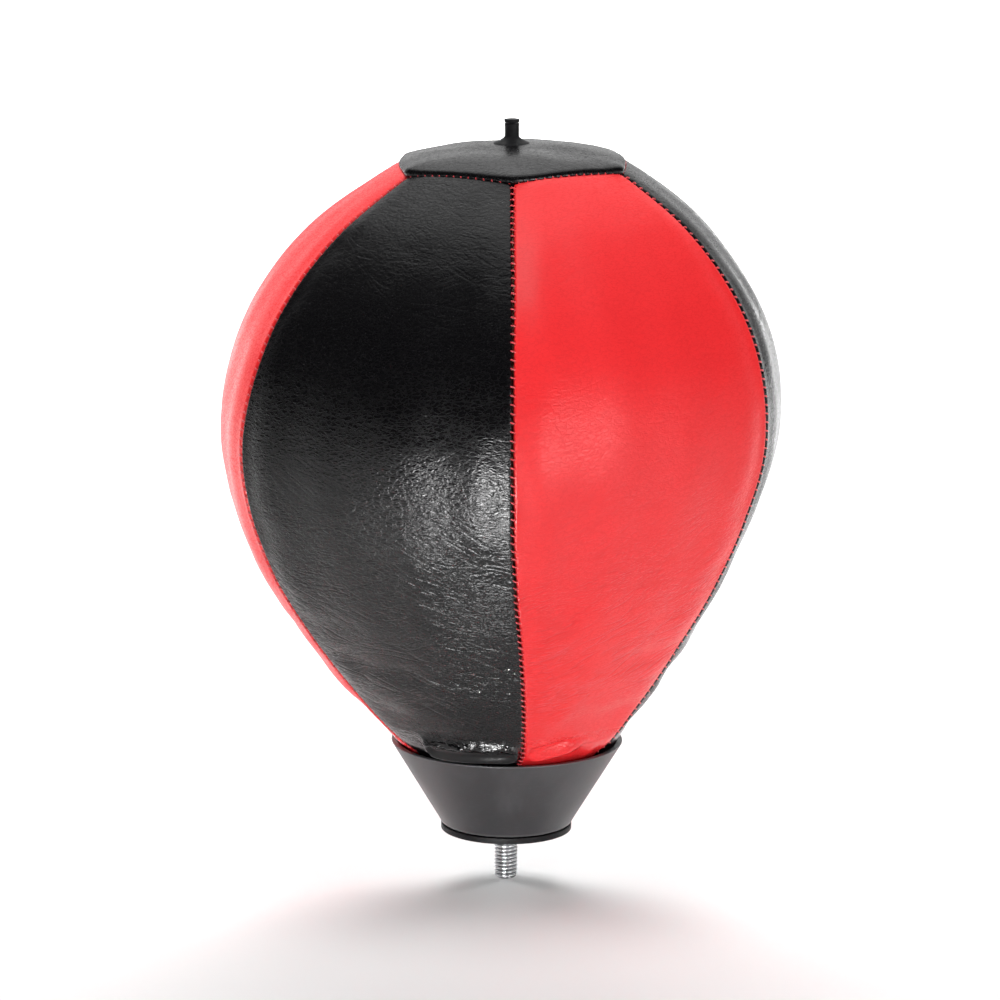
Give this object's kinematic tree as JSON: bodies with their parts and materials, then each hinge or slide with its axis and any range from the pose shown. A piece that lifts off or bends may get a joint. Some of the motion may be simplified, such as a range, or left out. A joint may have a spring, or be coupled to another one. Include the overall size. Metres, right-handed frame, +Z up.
{
  "type": "punch ball unit",
  "caption": "Inflatable teardrop punch ball with sewn red and black gores, top valve, seat cup and a threaded stud that screws into a spring post.",
  "frame": {"origin": "on the stud's axis, on the underside of the base gasket, where the unit seats on the spring post", "axes": "+Z up the stud's axis to the valve; the front seam faces -Y, with the red front gore on its +X side"},
  "size_m": [0.181, 0.193, 0.2527],
  "materials": {
    "red_leather": "smooth PU leather, semi-gloss",
    "black_leather": "grained PU leather, semi-gloss",
    "red_thread": "twisted polyester thread",
    "black_rubber": "satin moulded rubber",
    "latex": "matte natural rubber",
    "black_plastic": "satin moulded plastic",
    "grey_felt": "pressed felt",
    "zinc": "bright zinc plate"
  },
  "bodies": {
    "ball": {"cover_panel_1": "red_leather", "cover_panel_2": "black_leather", "cover_panel_3": "red_leather", "cover_panel_4": "black_leather", "cover_panel_5": "red_leather", "cover_panel_6": "black_leather", "top_panel": "black_leather", "seam_thread_1": "red_thread", "seam_thread_2": "red_thread", "seam_thread_3": "red_thread", "seam_thread_4": "red_thread", "seam_thread_5": "red_thread", "seam_thread_6": "red_thread", "cap_thread": "red_thread", "bladder": "latex", "valve_core": "latex", "bladder_patch": "black_rubber", "valve_body": "black_rubber", "base_gasket": "black_rubber", "guard_pad": "grey_felt", "clamp_plate": "zinc", "stud_bolt": "zinc", "hex_nut": "zinc", "flat_washer": "zinc", "spring_washer": "zinc"},
    "cup": {"base_cup": "black_plastic"},
    "stopper": {"valve_stopper": "black_rubber"}
  },
  "joints": [
    {"name": "cup_spin", "type": "hinge", "parent": "ball", "child": "cup", "pos_m": [0, 0, 0.0153], "axis": [0, 0, 1], "continuous": true},
    {"name": "stopper_pull", "type": "slide", "parent": "ball", "child": "stopper", "axis": [0, 0, 1], "range_m": [0, 0.012]}
  ]
}
